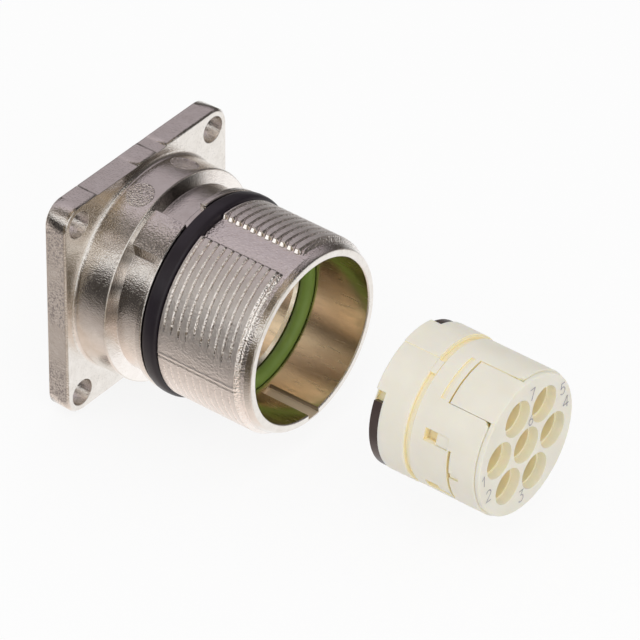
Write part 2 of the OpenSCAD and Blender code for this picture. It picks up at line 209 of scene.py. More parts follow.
def true_normals(mesh, cavities=()):
    """Sets the shading normals that the triangles only come near: a face along the frame's axes keeps its
    own normal, and the turned surfaces about the connector axis and inside the cavities get theirs."""
    count = len(mesh.polygons)
    corner_of = np.empty(count * 3, np.int32)
    points = np.empty(len(mesh.vertices) * 3)
    facing = np.empty(count * 3)
    area = np.empty(count)
    normals = np.empty(count * 9)
    mesh.loops.foreach_get("vertex_index", corner_of)
    mesh.vertices.foreach_get("co", points)
    mesh.polygons.foreach_get("normal", facing)
    mesh.polygons.foreach_get("area", area)
    mesh.corner_normals.foreach_get("vector", normals)
    facing = facing.reshape(-1, 1, 3)
    normals = normals.reshape(-1, 3, 3)
    point = points.reshape(-1, 3)[corner_of].reshape(-1, 3, 3) / MM

    flat = np.abs(facing).max(axis=(1, 2)) > ALONG_AN_AXIS
    turned, close = turned_normals(point, facing, area, (0.0, 0.0), TURNED_R)
    normals = np.where(flat[:, None, None], facing, normals)
    normals = np.where((close & ~flat)[:, None, None], turned, normals)
    print(mesh.name, "faces:", count, "turned:", int(close.sum()))
    for cavity in cavities:
        turned, close = turned_normals(point, facing, area, cavity, CAVITY_R)
        normals = np.where(close[:, None, None], turned, normals)
        print("  in a cavity:", int(close.sum()))
    mesh.normals_split_custom_set(normals.reshape(-1, 3))


# %% Shader helpers
# A Mix node has sockets for every kind of data. These are the numbers of the ones for colours.
COLOUR_A = 6
COLOUR_B = 7
COLOUR_RESULT = 2
EDGE_SAMPLES = 4


def new_node(tree, kind, inputs=None, **settings):
    """Adds a shader node, sets its properties and its unlinked inputs."""
    node = tree.nodes.new(kind)
    for key, value in settings.items():
        setattr(node, key, value)
    for key, value in (inputs or {}).items():
        node.inputs[key].default_value = value
    return node


def new_group(name, inputs, outputs):
    """An empty shader node group with named sockets. An input is (name, type, value), an output is
    (name, type)."""
    group = bpy.data.node_groups.new(name, "ShaderNodeTree")
    for title, kind, value in inputs:
        socket = group.interface.new_socket(title, in_out="INPUT", socket_type=kind)
        socket.default_value = value
    for title, kind in outputs:
        group.interface.new_socket(title, in_out="OUTPUT", socket_type=kind)
    return group, group.nodes.new("NodeGroupInput"), group.nodes.new("NodeGroupOutput")


def new_material(name):
    """A material with an empty tree that holds a Principled BSDF and its output."""
    material = bpy.data.materials.new(name)
    material.use_nodes = True
    tree = material.node_tree
    tree.nodes.clear()
    shader = tree.nodes.new("ShaderNodeBsdfPrincipled")
    output = tree.nodes.new("ShaderNodeOutputMaterial")
    tree.links.new(shader.outputs["BSDF"], output.inputs["Surface"])
    return material, tree, shader


def ranged(tree, value, low, high, start=0.3, stop=0.7):
    """Maps a mask from start..stop to low..high."""
    limits = {"From Min": start, "From Max": stop, "To Min": low, "To Max": high}
    node = new_node(tree, "ShaderNodeMapRange", limits)
    tree.links.new(value, node.inputs["Value"])
    return node.outputs["Result"]


def mixed(tree, factor, first, second):
    """Mixes two colours by a mask. A colour is three numbers, or the socket of another node."""
    node = new_node(tree, "ShaderNodeMix", data_type="RGBA")
    tree.links.new(factor, node.inputs["Factor"])
    for number, colour in ((COLOUR_A, first), (COLOUR_B, second)):
        if isinstance(colour, tuple):
            node.inputs[number].default_value = (*colour, 1.0)
        else:
            tree.links.new(colour, node.inputs[number])
    return node.outputs[COLOUR_RESULT]


def product(tree, first, second):
    """The product of two masks."""
    node = new_node(tree, "ShaderNodeMath", operation="MULTIPLY")
    tree.links.new(first, node.inputs[0])
    tree.links.new(second, node.inputs[1])
    return node.outputs["Value"]


def ring_of_tones(tree, direction, tones):
    """A colour ramp over the angle around the connector axis, which is the arctangent of z over y. Each
    tone is an angle from -180 to 180 degrees and a colour. Gives the colour and the x of the
    direction."""
    parts = new_node(tree, "ShaderNodeSeparateXYZ")
    around = new_node(tree, "ShaderNodeMath", operation="ARCTAN2")
    ramp = new_node(tree, "ShaderNodeValToRGB")
    tree.links.new(direction, parts.inputs["Vector"])
    tree.links.new(parts.outputs["Z"], around.inputs[0])
    tree.links.new(parts.outputs["Y"], around.inputs[1])
    tree.links.new(ranged(tree, around.outputs["Value"], 0.0, 1.0, -np.pi, np.pi), ramp.inputs["Fac"])
    stops = ramp.color_ramp.elements
    stops.remove(stops[1])
    for number, (angle, colour) in enumerate(tones):
        position = (angle + 180.0) / 360.0
        stop = stops.new(position) if number else stops[0]
        stop.position = position
        stop.color = (*colour, 1.0)
    return ramp.outputs["Color"], parts.outputs["X"]


def bumped(tree, height, distance_mm, edge_mm):
    """A normal from a height, over edges that are rounded by edge_mm."""
    edge = new_node(tree, "ShaderNodeBevel", {"Radius": edge_mm * MM}, samples=EDGE_SAMPLES)
    bump = new_node(tree, "ShaderNodeBump", {"Distance": distance_mm * MM})
    tree.links.new(height, bump.inputs["Height"])
    tree.links.new(edge.outputs["Normal"], bump.inputs["Normal"])
    return bump.outputs["Normal"]


# %% [markdown]
# ## The surface of a casting and of a moulding
# Die casting leaves a skin of small soft pebbles, a drawn bore has streaks along its length, and moulded
# plastic has the fine grain of its tool. All are noise at two sizes, so one node group serves them: it
# gives a height for bumps and two masks for colour and gloss. The sizes are in features per metre,
# because Object coordinates are in metres, and a stretch below 1 draws the features out along that axis.

# %% Pebble group
pebble, pebble_in, pebble_out = new_group(
    "pebble_skin",
    [
        ("Coarse", "NodeSocketFloat", 700.0),
        ("Fine", "NodeSocketFloat", 4000.0),
        ("Fine Share", "NodeSocketFloat", 0.4),
        ("Stretch", "NodeSocketVector", (1.0, 1.0, 1.0)),
    ],
    [("Height", "NodeSocketFloat"), ("Coarse Mask", "NodeSocketFloat"), ("Fine Mask", "NodeSocketFloat")],
)
place = new_node(pebble, "ShaderNodeTexCoord")
drawn = new_node(pebble, "ShaderNodeVectorMath", operation="MULTIPLY")
coarse = new_node(pebble, "ShaderNodeTexNoise", {"Detail": 2.0, "Roughness": 0.5})
fine = new_node(pebble, "ShaderNodeTexNoise", {"Detail": 1.5, "Roughness": 0.5})
blend = new_node(pebble, "ShaderNodeMix", data_type="FLOAT")
pebble.links.new(place.outputs["Object"], drawn.inputs[0])
pebble.links.new(pebble_in.outputs["Stretch"], drawn.inputs[1])
pebble.links.new(drawn.outputs["Vector"], coarse.inputs["Vector"])
pebble.links.new(drawn.outputs["Vector"], fine.inputs["Vector"])
pebble.links.new(pebble_in.outputs["Coarse"], coarse.inputs["Scale"])
pebble.links.new(pebble_in.outputs["Fine"], fine.inputs["Scale"])
pebble.links.new(pebble_in.outputs["Fine Share"], blend.inputs["Factor"])
pebble.links.new(coarse.outputs["Fac"], blend.inputs["A"])
pebble.links.new(fine.outputs["Fac"], blend.inputs["B"])
pebble.links.new(blend.outputs["Result"], pebble_out.inputs["Height"])
pebble.links.new(coarse.outputs["Fac"], pebble_out.inputs["Coarse Mask"])
pebble.links.new(fine.outputs["Fac"], pebble_out.inputs["Fine Mask"])
print("group", pebble.name)


# %% Use of the group in a material
def pebbled(tree, coarse_size, fine_size, fine_share, stretch=(1.0, 1.0, 1.0)):
    """Places the pebble group in a material with its own sizes."""
    node = new_node(tree, "ShaderNodeGroup", node_tree=pebble)
    node.inputs["Coarse"].default_value = coarse_size
    node.inputs["Fine"].default_value = fine_size
    node.inputs["Fine Share"].default_value = fine_share
    node.inputs["Stretch"].default_value = stretch
    return node


def two_toned(tree, skin, tones):
    """A colour that wanders between two tones with the coarse pebbles."""
    return mixed(tree, ranged(tree, skin.outputs["Coarse Mask"], 0.0, 1.0), *tones)


def uneven_gloss(tree, skin, low, high):
    """A roughness that wanders from low to high with the fine pebbles."""
    return ranged(tree, skin.outputs["Fine Mask"], low, high)


# %% [markdown]
# ## Nickel
# The shell is a zinc casting under bright nickel: a warm, slightly yellow metal whose pebbles break up
# the reflections. A photographed metal texture would bring its own lights with it, so the finishes are
# worked out from one recipe. There are eight: the plated casting, the duller sawn edges with their
# specks, the stamped round marks, the drawn bore, the socket whose thin plating has a bronze tint under
# bands of painted reflection, the broached floor of the keyway, its walls in a dark tone of painted
# shade, and the shoulder of the neck with painted reflections. The thread's finish follows later from
# the same recipe.


# %% Nickel
def nickel(name, tones, gloss, sizes, bump_mm, edge_mm, stretch=(1.0, 1.0, 1.0)):
    """Metal between two tones, with pebbles of the given sizes and height over edges rounded by edge_mm.
    The roughness wanders between the two values of gloss; where gloss is None, it is left to be linked
    later."""
    material, tree, shader = new_material(name)
    skin = pebbled(tree, *sizes, stretch)
    tree.links.new(two_toned(tree, skin, tones), shader.inputs["Base Color"])
    tree.links.new(bumped(tree, skin.outputs["Height"], bump_mm, edge_mm), shader.inputs["Normal"])
    if gloss is not None:
        tree.links.new(uneven_gloss(tree, skin, *gloss), shader.inputs["Roughness"])
    shader.inputs["Metallic"].default_value = 1.0
    return material, tree, shader


def base_colour(shader):
    """The socket that feeds a shader's base colour so far."""
    return shader.inputs["Base Color"].links[0].from_socket


def scuffed(tree, shader, patch_size, speck_size, tone):
    """Specks of a darker tone over the base colour, thick in some patches and thin in others."""
    specks = pebbled(tree, patch_size, speck_size, 0.5)
    patch = ranged(tree, specks.outputs["Coarse Mask"], THINNEST_PATCH, 1.0, *PATCH_EDGE)
    speck = ranged(tree, specks.outputs["Fine Mask"], 0.0, 1.0, *SPECK_EDGE)
    dotted = mixed(tree, product(tree, patch, speck), base_colour(shader), tone)
    tree.links.new(dotted, shader.inputs["Base Color"])


def banded(tree, shader, bands):
    """Multiplies the base colour by a share that changes with the angle around the connector axis."""
    place = new_node(tree, "ShaderNodeTexCoord").outputs["Object"]
    shares, _ = ring_of_tones(tree, place, [(angle, (share, share, share)) for angle, share in bands])
    node = new_node(tree, "ShaderNodeMix", {0: 1.0}, data_type="RGBA", blend_type="MULTIPLY")
    tree.links.new(base_colour(shader), node.inputs[COLOUR_A])
    tree.links.new(shares, node.inputs[COLOUR_B])
    tree.links.new(node.outputs[COLOUR_RESULT], shader.inputs["Base Color"])


# %% Tones and bands of the finishes
PLATED = ((0.80, 0.755, 0.705), (0.86, 0.82, 0.775))
ROLLED = ((0.95, 0.895, 0.85), (0.99, 0.94, 0.90))
GOLDEN = ((0.95, 0.83, 0.66), (0.99, 0.89, 0.74))
BRONZED = ((0.96, 0.79, 0.59), (1.0, 0.86, 0.67))
# The next tone is painted shade for the keyway's walls
SHADED = ((0.26, 0.20, 0.13), (0.32, 0.25, 0.17))
SCUFF = (0.46, 0.43, 0.42)
# How thick the specks are in the thinnest patch, and the mask values over which patches and specks fade in
THINNEST_PATCH = 0.12
PATCH_EDGE = (0.42, 0.58)
SPECK_EDGE = (0.46, 0.66)
# How much of the socket's tint is left at each angle around it. The bands are painted reflections of the
# surroundings.
SOCKET_PAINTED_REFLECTIONS = (
    (-180, 0.74),
    (-95, 0.80),
    (-78, 1.00),
    (-70, 0.98),
    (-64, 0.66),
    (-59, 0.58),
    (-51, 0.74),
    (-44, 0.72),
    (-39, 0.58),
    (-35, 0.50),
    (-30, 0.76),
    (-24, 0.98),
    (-18, 1.00),
    (-10, 0.88),
    (0, 0.78),
    (40, 0.78),
    (180, 0.74),
)
# The same for the sloping shoulder of the neck: painted reflections, dark bands on top and beside the pad
# and one bright spot between them
SHOULDER_PAINTED_REFLECTIONS = (
    (-180, 0.85),
    (-150, 1.00),
    (60, 1.00),
    (67, 0.85),
    (75, 0.35),
    (83, 0.13),
    (94, 0.13),
    (101, 0.38),
    (108, 0.90),
    (130, 0.80),
    (140, 0.34),
    (147, 1.00),
    (150, 1.00),
    (156, 0.22),
    (163, 0.85),
    (171, 0.40),
    (180, 0.85),
)

# %% The shell's finishes
# Sizes of the pebbles, their height and the rounding of edges in millimetres, and the stretch where it
# differs
CAST = ((900.0, 6800.0, 0.7), 0.05, 0.16)
SAWN = ((1500.0, 4800.0, 0.75), 0.06, 0.12)
STAMPED = ((2400.0, 4600.0, 0.75), 0.40, 0.12)
DRAWN = ((420.0, 2600.0, 0.4), 0.014, 0.05, (0.15, 1.0, 1.0))
SCUFF_SIZES = (150.0, 5200.0)
BROACHED_METALLIC = 0.5

cast_nickel, _, _ = nickel("cast_nickel", PLATED, (0.04, 0.08), *CAST)
dull_nickel, tree, shader = nickel("dull_nickel", PLATED, (0.12, 0.22), *SAWN)
scuffed(tree, shader, *SCUFF_SIZES, SCUFF)
stamped_nickel, _, _ = nickel("stamped_nickel", ROLLED, (0.14, 0.26), *STAMPED)
bore_nickel, _, _ = nickel("bore_nickel", GOLDEN, (0.16, 0.28), *DRAWN)
socket_nickel, tree, shader = nickel("socket_nickel", BRONZED, (0.16, 0.28), *DRAWN)
# Painted reflections: the socket's tint is multiplied by bands around the axis
banded(tree, shader, SOCKET_PAINTED_REFLECTIONS)
keyway_floor, _, shader = nickel("keyway_floor", BRONZED, (0.50, 0.62), *DRAWN)
shader.inputs["Metallic"].default_value = BROACHED_METALLIC
# The keyway's walls take a dark tone that is painted shade
keyway_wall, _, _ = nickel("keyway_wall", SHADED, (0.40, 0.50), *DRAWN)
shoulder_nickel, tree, shader = nickel("shoulder_nickel", ROLLED, (0.06, 0.12), *CAST)
# Painted reflections: dark bands and a bright spot on the shoulder
banded(tree, shader, SHOULDER_PAINTED_REFLECTIONS)
shell_finishes = (
    cast_nickel,
    dull_nickel,
    stamped_nickel,
    bore_nickel,
    socket_nickel,
    keyway_floor,
    keyway_wall,
    shoulder_nickel,
)
print("nickel finishes:", [m.name for m in shell_finishes])

# %% [markdown]
# ## The thread
# On the real shell one ridge winds around the tube eleven times. Its ends slope into an axial slot like
# small tongues, its grooves run out raggedly towards the mould's two parting lines, and a fine seam of
# flash runs along each of those lines. The solids have plain rings there. A spiral sweep of a tooth
# profile could make the ridge, but the run-outs would be hard to add, so the whole skin is one height
# function over the axis and the angle, laid on the core of the tube. The same function says how deep in
# the groove a place lies and whether it is on a ridge end, which the thread's finish reads as two
# attributes.

# %% Sizes of the thread in millimetres and degrees
MOUTH_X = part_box("housing")[1].x / MM
THREAD_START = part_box("coupling_o_ring")[1].x / MM + 0.05
THREAD_END = MOUTH_X - 1.2
SKIN_END = MOUTH_X - 0.70
CORE_R = 10.97
CREST_R = 11.5
GROOVE_DEPTH = 0.30
FRONT_FLANK = 0.29
BACK_FLANK = 0.10
PITCH = 1.0
SLOT = (92.5, 109.3)
SLOT_MIDDLE = sum(SLOT) / 2.0
PARTING = 182.0
# Share of its height with which the thread starts, and the lengths of the slopes at its start and its end
START_SHARE = 0.5
START_SLOPE = 0.12
END_SLOPE = 0.53
# Degrees before the far edge of the slot between which the groove grows, and by how much
TONGUE = (5.0, 1.5)
TONGUE_WIDER = 0.7
TONGUE_DEEPER = 0.20
# The ridge goes down into the slot by a slope at the far edge, and by a step and a slope at the near edge
FAR_FOOT = 0.2
FAR_SLOPE = 2.1
NEAR_STEP = (-0.3, 0.1)
NEAR_STEP_SHARE = 0.7
NEAR_SLOPE = 1.4
NEAR_SLOPE_SHARE = 0.3
# Degrees from a parting line over which the groove comes in: above the line, and in two stages below it
RUN_OUT_ABOVE = (12.0, 26.0)
SHALLOW_BELOW = (2.0, 12.0)
SHALLOW_SHARE = 0.35
RUN_OUT_BELOW = (16.0, 44.0)
RUN_OUT_SHARE = 0.65
# The run-outs' raggedness from turn to turn: the size, step and start of two waves
RAGGED = ((2.2, 7.3, 0.0), (1.4, 2.6, 1.0))
# The seam with the dip and the second line beside it: height, place and width
SEAM = ((0.07, 0.0, 0.55), (-0.035, 1.7, 0.7), (0.03, 3.2, 0.5))


# %% Height of the thread
def soft_step(value, start, stop):
    """0 before start, 1 after stop, and the smooth curve 3t^2 - 2t^3 between them."""
    t = np.clip((value - start) / (stop - start), 0.0, 1.0)
    return t * t * (3.0 - 2.0 * t)


def hump(value, middle, width):
    """A bell curve: exp(-((value - middle) / width)^2)."""
    return np.exp(-(((value - middle) / width) ** 2))


def ramp_up(value, length):
    """0 below zero, then a straight rise to 1 at the given length."""
    return np.clip(value / length, 0.0, 1.0)


def thread_skin(x, angle):
    """Radius of the skin, how deep in the groove it lies from 0 to 1, and whether it is on a ridge end.
    One shallow groove winds around a band that stands on the core: its front flank slopes at 45 degrees,
    and its back flank is steep. The groove runs out raggedly near the parting lines and grows into a
    tongue beside the slot's far edge, the ridge slopes into the slot and stops at both ends of the
    thread, and a seam with a shallow dip beside it stands on each parting line."""
    turn = (x - THREAD_START) / PITCH - angle / 360.0
    along = (turn - np.floor(turn)) * PITCH
    far_side = angle < SLOT_MIDDLE
    tongue = soft_step(angle, SLOT[0] - TONGUE[0], SLOT[0] - TONGUE[1]) * far_side
    front = FRONT_FLANK * (1.0 + TONGUE_WIDER * tongue)
    back = BACK_FLANK * (1.0 + TONGUE_WIDER * tongue)
    cut = np.clip(np.minimum(along / front, 1.0 - (along - front) / back), 0.0, 1.0)
    off = (angle - PARTING + 90.0) % 180.0 - 90.0
    ragged = sum(size * np.sin(step * np.floor(turn) + start) for size, step, start in RAGGED)
    above = soft_step(-off + ragged, *RUN_OUT_ABOVE)
    below = SHALLOW_SHARE * soft_step(off, *SHALLOW_BELOW)
    below = below + RUN_OUT_SHARE * soft_step(off + ragged, *RUN_OUT_BELOW)
    grooved = np.where(off < 0.0, above, below)
    ridge = CREST_R - (GROOVE_DEPTH + TONGUE_DEEPER * tongue) * grooved * cut
    seam = sum(height * hump(off, middle, width) for height, middle, width in SEAM)
    far_end = ramp_up(SLOT[0] - angle + FAR_FOOT, FAR_SLOPE)
    near_end = NEAR_STEP_SHARE * soft_step(angle - SLOT[1], *NEAR_STEP)
    near_end = near_end + NEAR_SLOPE_SHARE * ramp_up(angle - SLOT[1], NEAR_SLOPE)
    outside_slot = np.where(far_side, far_end, near_end)
    rise = START_SHARE + (1.0 - START_SHARE) * soft_step(x, THREAD_START, THREAD_START + START_SLOPE)
    fall = ramp_up(THREAD_END - x, END_SLOPE)
    radius = CORE_R + (ridge + seam - CORE_R) * outside_slot * rise * fall
    depth = grooved * cut * outside_slot * (fall == 1.0)
    return radius, depth, (outside_slot > 0.0) & (outside_slot < 1.0)


# %% The thread's finish
ROLLED_SKIN = ((1300.0, 4400.0, 0.65), 0.15, 0.02)
# The crests turn dull between two depths below their top, and the grooves are painted dark as shade between
# two shares of depth
CREST_BAND = (0.07, 0.02)
CREST_GLOSS = (0.10, 0.42)
GROOVE_SHARE = (0.72, 0.90)
GROOVE_PAINTED_SHADE = (0.20, 0.175, 0.16)
RIDGE_END_BUMP = 0.1


def away_from_axis(tree):
    """The distance from the connector axis in metres: the length of (y, z)."""
    place = new_node(tree, "ShaderNodeTexCoord")
    across = new_node(tree, "ShaderNodeVectorMath", {1: (0.0, 1.0, 1.0)}, operation="MULTIPLY")
    length = new_node(tree, "ShaderNodeVectorMath", operation="LENGTH")
    tree.links.new(place.outputs["Object"], across.inputs[0])
    tree.links.new(across.outputs["Vector"], length.inputs[0])
    return length.outputs["Value"]


thread_nickel, tree, shader = nickel("thread_nickel", ROLLED, None, *ROLLED_SKIN)
crest_limits = [(CREST_R - depth) * MM for depth in CREST_BAND]
crest = ranged(tree, away_from_axis(tree), *CREST_GLOSS, *crest_limits)
tree.links.new(crest, shader.inputs["Roughness"])
# Painted shade: the groove floors turn dark with their depth
in_groove = new_node(tree, "ShaderNodeAttribute", attribute_name="groove").outputs["Fac"]
groove_mask = ranged(tree, in_groove, 0.0, 1.0, *GROOVE_SHARE)
painted_groove_shade = mixed(tree, groove_mask, base_colour(shader), GROOVE_PAINTED_SHADE)
tree.links.new(painted_groove_shade, shader.inputs["Base Color"])
on_end = new_node(tree, "ShaderNodeAttribute", attribute_name="ridge_end").outputs["Fac"]
bump = shader.inputs["Normal"].links[0].from_node
tree.links.new(ranged(tree, on_end, 1.0, RIDGE_END_BUMP, 0.0, 1.0), bump.inputs["Strength"])
print("thread finish:", thread_nickel.name)

# %% The thread's skin
EVEN_COLUMNS = 240
THREAD_ROWS = 296
BAND_ROWS = 4
BAND_GAP = 0.1
FOOT_SINK = 0.02
# Closer columns at the slot's edges and at the seams: start, stop and how many
FINE_SPANS = (
    (SLOT[0] - 3.5, SLOT[0] + 1.0, 12),
    (SLOT[1] - 1.0, SLOT[1] + 2.0, 10),
    (PARTING - 2.5, PARTING + 5.0, 24),
    (PARTING - 182.5, PARTING - 175.0, 24),
)

fine_columns = [np.linspace(*span) for span in FINE_SPANS]
even_columns = np.linspace(0.0, 360.0, EVEN_COLUMNS, endpoint=False)
columns = np.unique(np.round(np.concatenate([*fine_columns, even_columns]) % 360.0, 2))
thread_rows = np.linspace(THREAD_START, THREAD_END, THREAD_ROWS)
band_rows = np.linspace(THREAD_END + BAND_GAP, SKIN_END, BAND_ROWS)
rows = np.concatenate([thread_rows, band_rows])
grid_x, grid_angle = np.meshgrid(rows, columns, indexing="ij")
grid_r, grid_groove, grid_end = thread_skin(grid_x, grid_angle)
foot = polar(THREAD_START, CORE_R - FOOT_SINK, columns)
thread_corners = np.concatenate([foot[None], polar(grid_x, grid_r, grid_angle)])
thread_mesh = mesh_from_arrays("thread", thread_corners, ring_faces(len(rows) + 1, len(columns)))
for title, grid in (("groove", grid_groove), ("ridge_end", grid_end)):
    attribute = thread_mesh.attributes.new(title, "FLOAT", "POINT")
    attribute.data.foreach_set("value", np.concatenate([np.zeros(len(columns)), grid.ravel()]))
thread = add_object("thread", thread_mesh, "shell", "nickel_plate", thread_nickel)
print("thread faces:", len(thread_mesh.polygons))
print("thread radius:", grid_r.min().round(3), "to", grid_r.max().round(3))

# %% [markdown]
# ## The casting
# The rest of the shell is right as a solid: flange, hub ring, neck, collar, socket and keyway. Its copy
# leaves out the faces that the new thread covers. Painting masks by hand would be lost whenever the solid
# changes, so the eight finishes are given out by where the middle of a face lies: the sawn edges of the
# flange and the pad are duller than the rest, the round marks are coarse, and the bore, socket, keyway
# and shoulder have their own.

# %% Places of the finishes, in millimetres and degrees
FLANGE_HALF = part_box("housing")[1].y / MM
FLANGE_T = 2.85
EDGE_DEPTH = 0.35
EDGE_INSET = 0.2
HUB_END = 7.2
HUB_R = 12.55
SHOULDER_END = HUB_END + 0.45
SHOULDER_R = (10.95, HUB_R - 0.05)
MARK_R = 1.62
MARK_ANGLES = (107.0, 72.0)
MARK_X = (FLANGE_T + HUB_END) / 2.0
MARK_HEIGHT = (0.04, 0.3)
PAD = (109.3, 131.5)
PAD_X = (HUB_END + 0.1, 11.5)
PAD_R = 11.8
BORE_X = (3.1, MOUTH_X - 0.1)
BORE_R = 10.4
KEYWAY_ANGLE = 271.5
KEYWAY_HALF = 0.875
KEYWAY_WALL = 0.06
KEYWAY_R = (9.80, 10.05)
SOCKET_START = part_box("mating_seal")[1].x / MM + 0.05
COVERED_X = (THREAD_START + 0.005, SKIN_END)
COVERED_R = 10.85


def between(value, low, high):
    """Whether a value lies between two others."""
    return (value > low) & (value < high)


def under_the_thread(x, y, z):
    """Faces of the solid's ring thread and of the core beneath it."""
    return between(x, *COVERED_X) & (np.hypot(y, z) > COVERED_R)


def finish_of(x, y, z):
    """The number of each face's finish in shell_finishes, from the middle of the face. The first place in
    the list that holds a face counts, and a face in none of them has the first finish, the plated
    casting."""
    r = np.hypot(y, z)
    angle = np.degrees(np.arctan2(z, y))
    rim = np.maximum(np.abs(y), -z) > FLANGE_HALF - EDGE_DEPTH
    edge = rim & between(x, EDGE_INSET, FLANGE_T - EDGE_INSET)
    off_mark = [np.hypot(x - MARK_X, np.radians(angle - a) * HUB_R) for a in MARK_ANGLES]
    mark = (np.minimum(*off_mark) < MARK_R) & between(np.abs(r - HUB_R), *MARK_HEIGHT)
    pad = (r > PAD_R) & between(x, *PAD_X) & between(angle, *PAD)
    bore = between(x, *BORE_X) & (r < BORE_R)
    socket = bore & (x > SOCKET_START)
    across = np.abs(r * np.sin(np.radians(angle - KEYWAY_ANGLE)))
    key_floor = socket & (r > KEYWAY_R[1]) & (across < KEYWAY_HALF - KEYWAY_WALL)
    key_wall = socket & (r > KEYWAY_R[0]) & (np.abs(across - KEYWAY_HALF) < KEYWAY_WALL)
    shoulder = between(x, HUB_END, SHOULDER_END) & between(r, *SHOULDER_R)
    places = (
        (keyway_wall, key_wall),
        (keyway_floor, key_floor),
        (socket_nickel, socket),
        (bore_nickel, bore),
        (stamped_nickel, mark),
        (dull_nickel, edge | pad),
        (shoulder_nickel, shoulder),
    )
    numbers = [shell_finishes.index(finish) for finish, _ in places]
    return np.select([faces for _, faces in places], numbers, 0).astype(np.int32)


# %% The casting
casting_mesh = merged_copy("casting", "housing", under_the_thread)
casting = add_object("casting", casting_mesh, "shell", "nickel_plate", *shell_finishes)
finishes = finish_of(*face_middles(casting_mesh))
casting_mesh.polygons.foreach_set("material_index", finishes)
true_normals(casting_mesh)
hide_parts("housing")
print("casting faces:", len(finishes), "in each finish:", np.bincount(finishes))

# %% [markdown]
# ## Rubber rings
# The panel's black O-ring and the green seal are plain cords, so the solids stay and only get a finish.
# Rubber is dark and even, with a soft broad highlight and a very fine grain. The lock ring at the
# insert's rear is a brown-black plastic with a satin gloss, near enough to share the recipe. The black
# rubber is kept for the coupling O-ring, which gets a new shape in the next step.

# %% Rubber
RUBBER_GRAIN = (400.0, 9000.0, 0.6)
RUBBER_BUMP_MM = 0.004
RUBBER_EDGE_MM = 0.02
RUBBER_WANDER = 0.06


def rubber(name, tones, rough):
    """Two close tones under a fine grain, with a roughness that wanders a little."""
    material, tree, shader = new_material(name)
    skin = pebbled(tree, *RUBBER_GRAIN)
    gloss = uneven_gloss(tree, skin, rough - RUBBER_WANDER, rough + RUBBER_WANDER)
    normal = bumped(tree, skin.outputs["Height"], RUBBER_BUMP_MM, RUBBER_EDGE_MM)
    tree.links.new(two_toned(tree, skin, tones), shader.inputs["Base Color"])
    tree.links.new(gloss, shader.inputs["Roughness"])
    tree.links.new(normal, shader.inputs["Normal"])
    return material


def dress(material, node):
    """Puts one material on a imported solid."""
    NODES[node].data.materials.clear()
    NODES[node].data.materials.append(material)
    print(material.name, "on", node)


black_rubber = rubber("black_rubber", ((0.011, 0.007, 0.012), (0.016, 0.011, 0.017)), 0.42)
green_rubber = rubber("green_rubber", ((0.23, 0.37, 0.072), (0.29, 0.44, 0.098)), 0.45)
dark_ring = rubber("dark_ring", ((0.045, 0.029, 0.026), (0.075, 0.052, 0.048)), 0.36)
dress(black_rubber, "panel_o_ring")
dress(green_rubber, "mating_seal")
dress(dark_ring, "lock_ring")

# %% [markdown]
# ## The coupling O-ring
# The solid's O-ring is a plain torus. A real one is squeezed by its groove, so its section is a rounded
# square that stands close to the collar. A softbody could be pressed into the groove, but the result is
# known, so the section is a superellipse inside the torus's own box, carried around the axis.

# %% The coupling O-ring
CORD_ROWS = 49
CORD_COLUMNS = 240
CORD_POWER = 3.2


def squeezed_cord(low, high):
    """Corners of a ring around the axis between two corners of its box: around its section, the distances
    from the section's middle are cos and sin raised to 2 / CORD_POWER, so that power 2 is a circle and
    more is squarer."""
    t = np.linspace(0.0, 2.0 * np.pi, CORD_ROWS)[:, None]
    angle = np.linspace(0.0, 360.0, CORD_COLUMNS, endpoint=False)
    half = (high.x - low.x) / MM / 2.0
    across = np.sign(np.cos(t)) * np.abs(np.cos(t)) ** (2.0 / CORD_POWER)
    along = np.sign(np.sin(t)) * np.abs(np.sin(t)) ** (2.0 / CORD_POWER)
    return polar((low.x + high.x) / MM / 2.0 - half * along, high.y / MM - half + half * across, angle)


cord = squeezed_cord(*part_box("coupling_o_ring"))
cord_mesh = mesh_from_arrays("squeezed_o_ring", cord, ring_faces(CORD_ROWS, CORD_COLUMNS))
squeezed = add_object("squeezed_o_ring", cord_mesh, "shell", "black_rubber", black_rubber)
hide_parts("coupling_o_ring")
print("O-ring faces:", len(cord_mesh.polygons))

# %% [markdown]
# ## Ivory plastic
# The insert is moulded in an ivory plastic that lets a little light in, so its seams and recesses glow
# yellow instead of turning grey. Subsurface scattering gives the glow. Two masks of how closed-in a place
# is, one for narrow seams and one for deep cavities, paint in the deeper yellow and tan that many bounces
# of light leave there: painted glow. A third mask follows the depth behind the numbered face, because the
# cavities are deeper in tone past their step, and paints that deeper tone as shade. The shapes are right
# as solids, so the two pieces are merged copies with true normals.

# %% Ivory
FACE_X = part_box("contact_carrier")[1].x / MM
IVORY = ((0.79, 0.75, 0.65), (0.82, 0.785, 0.69))
# Painted light: the seam, cavity and crevice tones are painted glow, and the tone past the step is painted
# shade
SEAM_PAINTED_GLOW = (0.93, 0.87, 0.60)
CAVITY_PAINTED_GLOW = (1.0, 0.94, 0.74)
PAST_STEP_PAINTED_SHADE = (1.0, 0.86, 0.56)
CREVICE_PAINTED_GLOW = (0.98, 0.82, 0.36)
GRAIN = (260.0, 6000.0, 0.7)
GRAIN_BUMP_MM = 0.006
GRAIN_EDGE_MM = 0.05
SEAM_REACH_MM = 0.7
CAVITY_REACH_MM = 6.0
MASK_SAMPLES = 16
# How open a place is, from closed to open, where each tone fades out
SEAM_OPEN = (0.25, 0.80)
CAVITY_OPEN = (0.25, 0.85)
CREVICE_OPEN = (0.0, 0.16)
STEP_DEPTH_MM = (1.25, 1.1)


def openness(tree, reach_mm):
    """How open a place is to its surroundings within reach, from 0 to 1."""
    reach = {"Distance": reach_mm * MM}
    return new_node(tree, "ShaderNodeAmbientOcclusion", reach, samples=MASK_SAMPLES).outputs["AO"]


